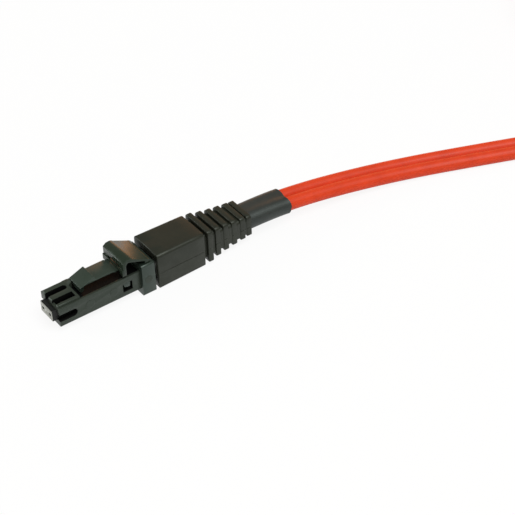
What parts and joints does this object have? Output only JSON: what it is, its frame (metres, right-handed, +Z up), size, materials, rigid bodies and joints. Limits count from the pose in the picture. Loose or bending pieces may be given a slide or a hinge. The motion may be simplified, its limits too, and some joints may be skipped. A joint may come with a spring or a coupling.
{
  "type": "fibre optic patch cable",
  "caption": "Duplex fibre optic patch cable: orange flat zip cord with a small square plug, trigger-lever latch and ribbed boot at each end, the spare length tied in an oval coil.",
  "frame": {"origin": "under the middle of the first plug, on the surface that the cable lies on; the plug runs from its ferrule's face to its boot's end", "axes": "+X from the first plug's ferrule face toward its cord, along the plug; +Y across the plug; +Z up"},
  "size_m": [0.2308, 0.0593, 0.0236],
  "materials": {
    "ferrule": "fine moulded, polished face",
    "rubber_insert": "soft",
    "spacer": "moulded",
    "spring_wire": "drawn wire",
    "housing": "satin moulded",
    "collar": "satin moulded",
    "crimp_body": "turned",
    "crimp_sleeve": "crimped",
    "fibre": "coated",
    "boot": "satin elastomer",
    "shrink": "satin shrink tube",
    "jacket": "smooth cord jacket",
    "tie": "woven strap"
  },
  "bodies": {
    "cable": {"front_housing": "housing", "rear_collar": "collar", "crimp_body": "crimp_body", "crimp_sleeve": "crimp_sleeve", "boot": "boot", "fibre_pair": "fibre", "ferrule_spring": "spring_wire", "shrink_sleeve": "shrink", "cord_run": "jacket", "cord_coil": "jacket", "cord_tail": "jacket", "coil_tie": "tie", "far_front_housing": "housing", "far_rear_collar": "collar", "far_boot": "boot", "far_shrink_sleeve": "shrink"},
    "latch": {"latch_arm": "housing"},
    "lever": {"trigger_lever": "collar"},
    "ferrule": {"ferrule": "ferrule", "ferrule_insert": "rubber_insert", "spacer": "spacer"},
    "far_latch": {"far_latch_arm": "housing"},
    "far_lever": {"far_trigger_lever": "collar"},
    "far_ferrule": {"far_ferrule": "ferrule"}
  },
  "joints": [
    {"name": "latch_flex", "type": "hinge", "parent": "cable", "child": "latch", "pos_m": [-0.01625, 0, 0.0062], "axis": [0, 1, 0], "range_deg": [0, 4.2], "stiffness_Nm_per_rad": 0.0005},
    {"name": "lever_press", "type": "hinge", "parent": "cable", "child": "lever", "pos_m": [-0.00225, 0, 0.00785], "axis": [0, -1, 0], "range_deg": [0, 6], "stiffness_Nm_per_rad": 0.0005},
    {"name": "ferrule_float", "type": "slide", "parent": "cable", "child": "ferrule", "axis": [1, 0, 0], "range_m": [0, 0.0006], "stiffness_N_per_m": 1000, "deforming": ["ferrule_spring", "fibre_pair"]},
    {"name": "far_latch_flex", "type": "hinge", "parent": "cable", "child": "far_latch", "pos_m": [0.19985, -0.0205, 0.0194], "axis": [0, -1, 0], "range_deg": [0, 4.2], "stiffness_Nm_per_rad": 0.0005},
    {"name": "far_lever_press", "type": "hinge", "parent": "cable", "child": "far_lever", "pos_m": [0.18585, -0.0205, 0.02105], "axis": [0, 1, 0], "range_deg": [0, 6], "stiffness_Nm_per_rad": 0.0005},
    {"name": "far_ferrule_float", "type": "slide", "parent": "cable", "child": "far_ferrule", "axis": [-1, 0, 0], "range_m": [0, 0.0006], "stiffness_N_per_m": 1000}
  ],
  "couplings": [
    {"joint": "latch_flex", "follows": "lever_press", "ratio": 0.6867},
    {"joint": "far_latch_flex", "follows": "far_lever_press", "ratio": 0.6867}
  ]
}
